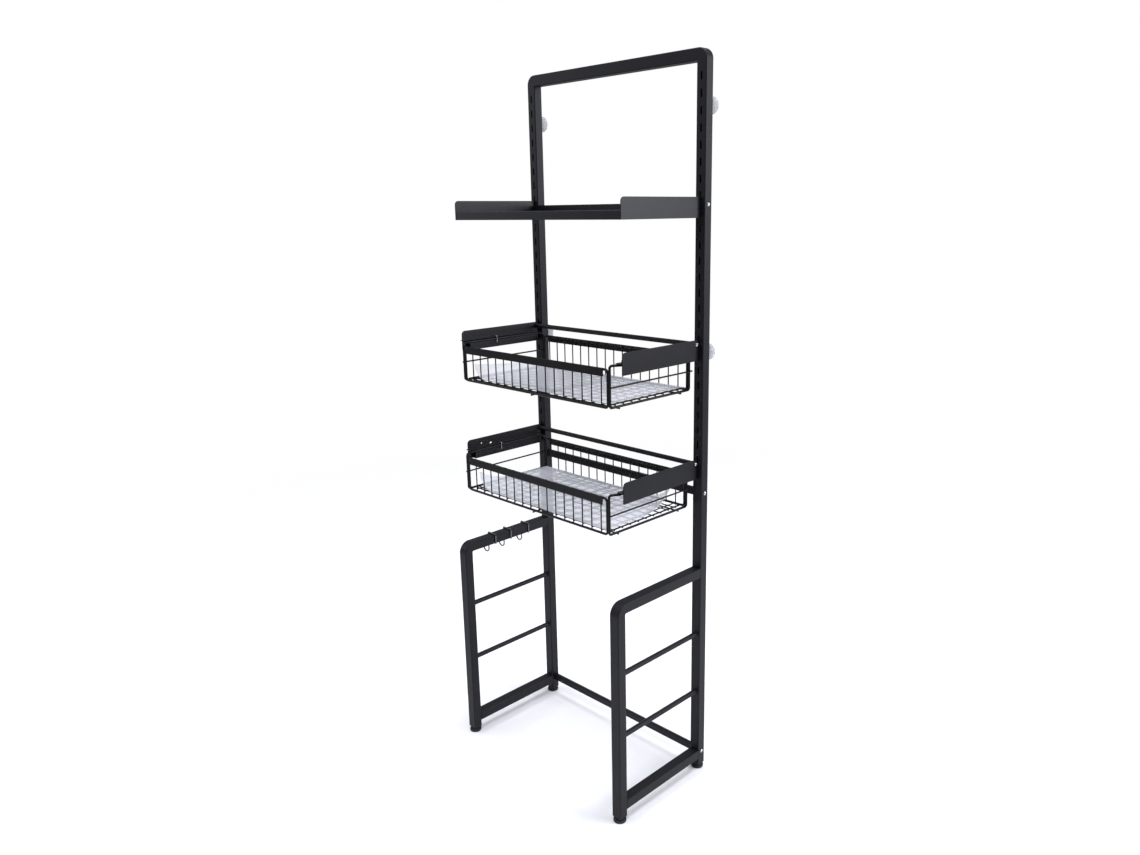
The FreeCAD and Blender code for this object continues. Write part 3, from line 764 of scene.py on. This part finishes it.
def smoothed(points: Iterable[tuple[float, float]], rounds: int) -> np.ndarray:
    """Rounds an open profile by cutting its corners.

    Each round replaces every straight run by the points a quarter and three quarters of the way along it. The
    two ends stay.

    Args:
        points: the profile's corners.
        rounds: how often the corners are cut.

    Returns:
        The rounded profile's points.
    """
    line = np.array(list(points), dtype=float)
    for _ in range(rounds):
        start, end = line[:-1], line[1:]
        cut = np.stack([0.75 * start + 0.25 * end, 0.25 * start + 0.75 * end], axis=1).reshape(-1, 2)
        line = np.concatenate([line[:1], cut, line[-1:]])
    return line


def box_mm(node: str) -> tuple[np.ndarray, np.ndarray]:
    """The lowest and highest corners of a node at rest, in millimetres."""
    low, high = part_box(node)
    return np.array(low) / MM, np.array(high) / MM


def dress(nodes: Iterable[str], material: bpy.types.Material) -> None:
    """Gives CAD nodes a finish.

    Args:
        nodes: the nodes' names.
        material: the finish.
    """
    for name in nodes:
        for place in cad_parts[name].material_slots:
            place.link = "OBJECT"
            place.material = material
        log.info("dressed %s in %s", name, material.name)


def make_piece(
    name: str,
    surface: Surface,
    material: bpy.types.Material,
    body: str,
    replaces: Sequence[str] = (),
    sharp_degrees: float = 40.0,
) -> bpy.types.Object:
    """Turns a surface into a piece that rides on a body.

    Args:
        name: the piece's name.
        surface: its closed surface, in millimetres.
        material: its finish.
        body: the body it moves with.
        replaces: the CAD nodes that it stands for.
        sharp_degrees: edges that turn by more than this stay sharp.

    Returns:
        The new object.
    """
    outward = surface.facing_out()
    mesh = bpy.data.meshes.new(name)
    faces = outward.quads.tolist() + outward.triangles.tolist()
    mesh.from_pydata((outward.vertices * MM).tolist(), [], faces)
    mesh.shade_smooth()
    mesh.set_sharp_from_angle(angle=np.radians(sharp_degrees))
    mesh.materials.append(material)
    mesh.validate()
    piece = bpy.data.objects.new(name, mesh)
    bpy.context.scene.collection.objects.link(piece)
    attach(piece, body)
    if replaces:
        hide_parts(*replaces)
    log.info("built %s on %s with %d faces", name, body, len(mesh.polygons))
    return piece


# ---------------------------------------------------------------- sub-assemblies
@dataclass
class UprightFrame:
    """The two slotted uprights with their top bar, the lower posts, the crossbars and the screws."""

    finishes: Finishes
    tubes: tuple[str, ...] = (
        "upright_upper_left", "upright_upper_right", "top_bar", "post_lower_left", "post_lower_right",
        "crossbar_upper", "crossbar_lower",
    )

    def build(self) -> None:
        """Dresses the tubes, the sleeves inside them and the screws."""
        dress(self.tubes, self.finishes.tube)
        dress(("joint_sleeves",), self.finishes.zinc)
        dress(("screws",), self.finishes.chrome_screw)


@dataclass
class SideFrames:
    """The two side frames that stand beside the toilet, each with two towel rungs welded across."""

    finishes: Finishes
    weld_leg: float = 2.2
    weld_sink: float = 0.3
    weld_points: int = 7
    rung_diameter: float = 13.0
    segments: int = 40

    def build(self) -> None:
        """Dresses the tubes and rungs, and lays a weld round each end of each rung."""
        for part in ("front_leg", "top_rail", "bottom_rail"):
            dress((f"{part}_left", f"{part}_right"), self.finishes.tube)
        dress(("rungs",), self.finishes.tube)
        make_piece("rung_welds", self.welds(), self.finishes.tube, "frame")

    def weld_ring(self) -> Surface:
        """One weld, a hollow fillet turned about the rung.

        The fillet's face is a quarter circle that is centred out at the corner opposite the joint, so it
        meets both the rung and the tube's wall smoothly. Its hidden back sinks a little into both.

        Returns:
            The ring about Z, with the wall at height 0.
        """
        rung = 0.5 * self.rung_diameter
        sweep = np.linspace(0.0, 0.5 * np.pi, self.weld_points)
        radius = rung + self.weld_leg * (1.0 - np.cos(sweep[::-1]))
        height = self.weld_leg * (1.0 - np.sin(sweep[::-1]))
        radius = np.concatenate([radius, [rung - self.weld_sink, rung - self.weld_sink]])
        height = np.concatenate([height, [self.weld_leg, -self.weld_sink]])
        radius = np.concatenate([radius, [rung + self.weld_leg]])
        height = np.concatenate([height, [-self.weld_sink]])
        return Surface.turned(radius, height, self.segments)

    def welds(self) -> Surface:
        """All eight welds: one at each end of the four rungs."""
        low, high = box_mm("rungs")
        half = 0.5 * self.rung_diameter
        heights = (low[2] + half, high[2] - half)
        rails = [box_mm(f"bottom_rail_{side}") for side in ("left", "right")]
        sides = [float(0.5 * (rail_low[0] + rail_high[0])) for rail_low, rail_high in rails]
        places = np.array([(x, 0.0, z) for x in sides for z in heights])
        ring = self.weld_ring()
        front = ring.turned_to((1, 0, 0), (0, 0, 1), (0, 1, 0)).copies(places + [0.0, low[1], 0.0])
        rear = ring.turned_to((1, 0, 0), (0, 0, -1), (0, -1, 0)).copies(places + [0.0, high[1], 0.0])
        front, rear = front.facing_out(), rear.facing_out()
        step = len(front.vertices)
        vertices = np.concatenate([front.vertices, rear.vertices])
        return Surface(vertices, np.concatenate([front.quads, rear.quads + step]))


@dataclass
class Shelf:
    """The folded top shelf and its two hooked side plates."""

    finishes: Finishes

    def build(self) -> None:
        """Dresses the folded sheets."""
        dress(("shelf_tray", "shelf_side_left", "shelf_side_right"), self.finishes.sheet)


@dataclass
class BasketCarrier:
    """The hooked side plates, guides, stops and rear bar that one basket slides in."""

    finishes: Finishes
    level: Level

    def build(self) -> None:
        """Dresses the plates, the bar and the stops."""
        name = f"carrier_{self.level.value}"
        dress([f"{name}_{part}" for part in ("plate_left", "plate_right", "guides")], self.finishes.sheet)
        dress((f"{name}_rear_bar",), self.finishes.tube)
        dress((f"{name}_stops",), self.finishes.chrome_screw)


@dataclass(frozen=True)
class Curl:
    """Where a liner lifts off the wires: it rolls up about a line across the given direction."""

    direction: tuple[float, float]
    start: float
    radius: float


@dataclass
class WireBasket:
    """One welded wire basket with the plastic liner that lies loose in it."""

    finishes: Finishes
    level: Level
    curls: tuple[Curl, ...]
    liner_thickness: float = 0.8
    liner_rows: int = 90
    liner_columns: int = 150
    wave_height: float = 0.7
    wave_length: float = 130.0
    wave_stretch: float = 0.8
    wave_start: tuple[float, float] = (0.6, 1.1)
    upright_count: int = 16
    frame_wire: float = 6.0
    thin_wire: float = 3.0
    nugget: tuple[float, float, float] = (2.3, 1.0, 2.0)
    nugget_rows: int = 6
    nugget_columns: int = 8

    @property
    def name(self) -> str:
        """The body's name, which starts every node's name."""
        return f"basket_{self.level.value}"

    def build(self) -> None:
        """Dresses the wires, lays the liner and adds the weld nuggets."""
        wires = (
            "end_loops", "side_loops", "bands", "side_wires",
            "upright_wires", "floor_wires", "cross_wires", "support_wires",
        )
        dress([f"{self.name}_{part}" for part in wires], self.finishes.wire)
        make_piece(
            f"{self.name}_liner_sheet", self.liner(), self.finishes.liner, self.name,
            replaces=(f"{self.name}_liner",),
        )
        make_piece(
            f"{self.name}_weld_nuggets", self.nuggets(), self.finishes.wire, self.name,
        )

    def liner(self) -> Surface:
        """The liner, a flat sheet with low waves whose ends curl up.

        The waves are the product of two sines, lifted so that they never dip into the wires. A curl rolls
        what lies past its line round a circle: a distance s past the line goes to r sin(s / r) along the
        direction and rises by r (1 - cos(s / r)).

        Returns:
            The closed sheet.
        """
        low, high = box_mm(f"{self.name}_liner")
        x = np.linspace(low[0], high[0], self.liner_columns)[None, :]
        y = np.linspace(low[1], high[1], self.liner_rows)[:, None]
        x, y = np.broadcast_arrays(x, y)
        along_x = 2.0 * np.pi / self.wave_length * x + self.wave_start[0]
        along_y = 2.0 * np.pi / self.wave_length * self.wave_stretch * y + self.wave_start[1]
        wave = 0.5 * self.wave_height * (1.0 + np.sin(along_x) * np.sin(along_y))
        z = low[2] + 0.5 * self.liner_thickness + wave
        points = np.stack([x, y, z], axis=-1)
        centre = 0.5 * (low + high)
        for curl in self.curls:
            way = np.array([*curl.direction, 0.0])
            way /= np.linalg.norm(way)
            past = np.clip((points - centre) @ way - curl.start, 0.0, None)
            angle = past / curl.radius
            points = points + (curl.radius * np.sin(angle) - past)[..., None] * way
            points[..., 2] += curl.radius * (1.0 - np.cos(angle))
        return Surface.sheet(points, self.liner_thickness)

    def nuggets(self) -> Surface:
        """The small lumps of weld between each upright wire and the end loops it is welded to.

        A lump is a ball of a few dozen faces whose three radii differ, and one copy sits at each crossing.

        Returns:
            All the lumps as one surface.
        """
        turn = np.linspace(0.0, np.pi, self.nugget_rows)
        between_poles = np.abs(np.cos(turn)) < 1.0 - TINY
        ball = Surface.turned(np.sin(turn) * between_poles, np.cos(turn), self.nugget_columns)
        lump = Surface(ball.vertices * np.array(self.nugget), ball.quads, ball.triangles).facing_out()
        loop_low, loop_high = box_mm(f"{self.name}_end_loops")
        wire_low, wire_high = box_mm(f"{self.name}_upright_wires")
        half = 0.5 * self.thin_wire
        across = np.linspace(wire_low[0] + half, wire_high[0] - half, self.upright_count)
        along = np.array([loop_low[1] + self.frame_wire, loop_high[1] - self.frame_wire])
        up = np.array([loop_low[2], loop_high[2]]) + 0.5 * self.frame_wire * np.array([1.0, -1.0])
        places = np.stack([axis.ravel() for axis in np.meshgrid(across, along, up, indexing="ij")], axis=1)
        return lump.copies(places)


@dataclass
class LevellingFoot:
    """One moulded pad with the threaded zinc stud that turns in it."""

    finishes: Finishes
    corner: Corner
    collar_height: float = 2.0
    collar_radius: float = 7.0
    shank_radius: float = 3.9
    thread_depth: float = 0.55
    thread_pitch: float = 1.25
    rows_per_turn: int = 10
    tip_share: float = 0.8
    tip_fade: float = 0.5
    segments: int = 36

    def build(self) -> None:
        """Dresses the pad and builds the stud."""
        place = self.corner.value
        dress((f"foot_pad_{place}",), self.finishes.plastic)
        make_piece(
            f"foot_thread_{place}", self.stud(), self.finishes.zinc, f"stud_{place}",
            replaces=(f"foot_stud_{place}",), sharp_degrees=50.0,
        )

    def stud(self) -> Surface:
        """The stud: a collar, and above it a screw thread.

        At angle t and height h the thread's radius is the shank's, less a share of the thread's depth that
        rises and falls once for each pitch: the distance of h / pitch - t / turn from its nearest whole
        number, doubled. The thread fades out at the collar and at the tip.

        Returns:
            The closed surface.
        """
        low, high = box_mm(f"foot_stud_{self.corner.value}")
        centre = 0.5 * (low + high)
        top = high[2] - low[2]
        collar = np.array([[0.0, 0.0], [self.collar_radius, 0.0], [self.collar_radius, self.collar_height]])
        shank_z = np.arange(self.collar_height, top, self.thread_pitch / self.rows_per_turn)
        shank_r = np.full(len(shank_z), self.shank_radius)
        radius = np.concatenate([collar[:, 0], shank_r, [self.tip_share * self.shank_radius, 0.0]])
        height = np.concatenate([collar[:, 1], shank_z, [top, top]])
        body = Surface.turned(radius, height, self.segments)
        x, y, z = body.vertices.T
        turn = np.arctan2(y, x) / (2.0 * np.pi)
        phase = z / self.thread_pitch - turn
        groove = 2.0 * np.abs(phase - np.round(phase))
        fade = np.clip((z - self.collar_height) / self.thread_pitch, 0.0, 1.0)
        fade *= np.clip((top - z) / self.tip_fade, 0.0, 1.0)
        across = np.hypot(x, y)
        cut = np.where(across > 0.0, self.thread_depth * groove * fade, 0.0)
        share = np.divide(across - cut, across, out=np.ones_like(across), where=across > 0.0)
        points = np.stack([x * share, y * share, z], axis=1) + [centre[0], centre[1], low[2]]
        return Surface(points, body.quads, body.triangles)


@dataclass
class SuctionCups:
    """The four clear cups that press against the wall, each buttoned through an upright's back."""

    finishes: Finishes
    radius: float = 20.0
    button_radius: float = 5.5
    neck_radius: float = 3.4
    collar_radius: float = 6.0
    lip: float = 1.4
    tube_wall: float = 1.2
    segments: int = 64

    def build(self) -> None:
        """Builds the cups as one piece."""
        make_piece(
            "clear_cups", self.cups(), self.finishes.vinyl, "frame",
            replaces=("suction_cups",), sharp_degrees=60.0,
        )

    def profile(self, depth: float, wall: float) -> np.ndarray:
        """A cup's profile, from the button inside the tube to the lip at the wall and back to its middle.

        Args:
            depth: how far the lip stands out from the upright.
            wall: the tube's wall thickness, which the neck passes through.

        Returns:
            Rounded points of radius and distance behind the upright, both ends on the axis.
        """
        inside = -wall - 0.3
        head = [
            (0.0, inside - 2.0), (5.2, inside - 1.8),
            (self.button_radius, inside), (self.neck_radius, inside),
        ]
        button = smoothed(head, 2)
        neck = [(self.neck_radius, 0.3), (self.collar_radius, 0.4)]
        edge = (self.radius - 0.6, depth - self.lip)
        outer = smoothed([(self.collar_radius, 0.4), (6.3, 4.0), (9.0, 5.2), (15.0, 8.0), edge], 3)
        lip = smoothed([edge, (self.radius, depth - 0.5 * self.lip), (self.radius - 0.1, depth)], 2)
        inner = smoothed([(self.radius - 0.8, depth), (15.0, 9.9), (9.0, 7.4), (4.0, 6.4), (0.0, 6.2)], 3)
        return np.concatenate([button, neck, outer[1:], lip[1:], inner])

    def cups(self) -> Surface:
        """All four cups as one surface, each turned about a line along Y."""
        low, high = box_mm("suction_cups")
        back = box_mm("upright_upper_left")[1][1]
        profile = self.profile(high[1] - back, self.tube_wall)
        cup = Surface.turned(profile[:, 0], profile[:, 1], self.segments)
        cup = cup.turned_to((1, 0, 0), (0, 0, 1), (0, 1, 0))
        places = [(x, back, z) for x in (low[0] + self.radius, high[0] - self.radius)
                  for z in (low[2] + self.radius, high[2] - self.radius)]
        return cup.facing_out().copies(np.array(places))


@dataclass
class HookRow:
    """The three S-hooks over the left top rail."""

    finishes: Finishes

    def build(self) -> None:
        """Dresses the hooks."""
        dress(("s_hook_front", "s_hook_middle", "s_hook_rear"), self.finishes.chrome_wire)


# ---------------------------------------------------------------- studio
@dataclass
class Softbox:
    """One rectangular area light that faces a point."""

    name: str
    place: tuple[float, float, float]
    aim: tuple[float, float, float]
    width: float
    height: float
    power: float
    tint: tuple[float, float, float] = (0.92, 0.93, 1.0)

    def build(self) -> None:
        """Makes the light, in metres and watts."""
        light = bpy.data.lights.new(self.name, "AREA")
        light.shape = "RECTANGLE"
        light.size = self.width
        light.size_y = self.height
        light.energy = self.power
        light.color = self.tint
        holder = bpy.data.objects.new(self.name, light)
        holder.visible_camera = False
        bpy.context.scene.collection.objects.link(holder)
        holder.location = self.place
        holder.rotation_euler = (Vector(self.aim) - Vector(self.place)).to_track_quat("-Z", "Y").to_euler()


@dataclass
class Studio:
    """A pale floor that fades out, a bright surround, soft light and the camera."""

    camera_place: tuple[float, float, float] = (1.59005, -1.49708, 1.44527)
    yaw: float = 0.768
    pitch: float = 0.238
    roll: float = -0.012
    lens: float = 27.829
    sensor: float = 36.0
    shift_x: float = -0.0390
    shift_y: float = -0.0022
    far_clip: float = 200.0
    floor_size: float = 8.0
    floor_points: int = 9
    surround: float = 0.36
    surround_colour: str = "f7f9ff"
    backdrop: float = 1.0
    backdrop_colour: str = "ffffff"
    softboxes: tuple[Softbox, ...] = (
        Softbox("softbox_right", (3.4, 2.0, 2.1), (0.0, 0.0, 1.0), 2.6, 2.2, 140.0),
        Softbox("softbox_top", (0.0, -0.2, 4.6), (0.0, 0.0, 0.0), 4.5, 4.5, 270.0),
        Softbox("softbox_left", (-3.6, -2.2, 2.4), (0.0, 0.0, 0.9), 2.0, 2.0, 25.0),
    )

    def build(self) -> None:
        """Builds everything that isn't the rack."""
        self.build_floor()
        self.build_world()
        for box in self.softboxes:
            box.build()
        self.build_camera()
        bpy.context.scene.view_settings.view_transform = "Standard"
        log.info("built the studio with %d softboxes", len(self.softboxes))

    def build_floor(self) -> None:
        """Lays the floor, a flat square grid at height 0."""
        side = np.linspace(-0.5 * self.floor_size, 0.5 * self.floor_size, self.floor_points)
        x, y = np.meshgrid(side, side, indexing="ij")
        points = np.stack([x, y, np.zeros_like(x)], axis=-1).reshape(-1, 3)
        quads = Surface.grid_quads(self.floor_points, self.floor_points, False, False)[:, ::-1]
        mesh = bpy.data.meshes.new("studio_floor")
        mesh.from_pydata(points.tolist(), [], quads.tolist())
        mesh.materials.append(StudioPaper().build())
        floor = bpy.data.objects.new("studio_floor", mesh)
        bpy.context.scene.collection.objects.link(floor)

    def build_world(self) -> None:
        """A white backdrop for the eye, and a dimmer even light on the rack."""
        world = bpy.data.worlds.new("studio_world")
        world.use_nodes = True
        tree = world.node_tree
        tree.nodes.clear()
        seen = add_node(
            tree, "ShaderNodeBackground",
            {"Color": linear(self.backdrop_colour), "Strength": self.backdrop},
        )
        lit = add_node(
            tree, "ShaderNodeBackground",
            {"Color": linear(self.surround_colour), "Strength": self.surround},
        )
        path = add_node(tree, "ShaderNodeLightPath", {})
        mix = add_node(
            tree, "ShaderNodeMixShader",
            {0: path.outputs["Is Camera Ray"], 1: lit.outputs["Background"], 2: seen.outputs["Background"]},
        )
        add_node(tree, "ShaderNodeOutputWorld", {"Surface": mix.outputs["Shader"]})
        bpy.context.scene.world = world

    def build_camera(self) -> None:
        """Sets the camera.

        Its back direction comes from the yaw about Z and the downward pitch. Its right hand is level before
        the roll turns both right and up about the line of sight.
        """
        level = np.cos(self.pitch)
        back = Vector((np.sin(self.yaw) * level, -np.cos(self.yaw) * level, np.sin(self.pitch)))
        right = Vector((np.cos(self.yaw), np.sin(self.yaw), 0.0))
        up = back.cross(right)
        tilt_right = right * np.cos(self.roll) + up * np.sin(self.roll)
        tilt_up = up * np.cos(self.roll) - right * np.sin(self.roll)
        data = bpy.data.cameras.new("camera")
        data.sensor_width = self.sensor
        data.lens = self.lens
        data.shift_x = self.shift_x
        data.shift_y = self.shift_y
        data.clip_end = self.far_clip
        camera = bpy.data.objects.new("camera", data)
        bpy.context.scene.collection.objects.link(camera)
        turn = Matrix((tilt_right, tilt_up, back)).transposed().to_4x4()
        camera.matrix_world = Matrix.Translation(self.camera_place) @ turn
        bpy.context.scene.camera = camera


def main() -> None:
    """Builds the rack's sub-assemblies in order, then the studio."""
    logging.basicConfig(level=logging.INFO, format="%(message)s")
    finishes = Finishes()
    assemblies = [
        UprightFrame(finishes),
        SideFrames(finishes),
        Shelf(finishes),
        BasketCarrier(finishes, Level.UPPER),
        BasketCarrier(finishes, Level.LOWER),
        WireBasket(finishes, Level.UPPER, (Curl((-1.0, -0.12), 200.0, 46.0),)),
        WireBasket(finishes, Level.LOWER, (Curl((-1.0, -0.55), 208.0, 54.0), Curl((1.0, 0.75), 186.0, 72.0))),
        *(LevellingFoot(finishes, corner) for corner in Corner),
        SuctionCups(finishes),
        HookRow(finishes),
    ]
    dress(("foot_plugs",), finishes.plastic)
    for assembly in assemblies:
        assembly.build()
    Studio().build()


if __name__ == "__main__":
    main()
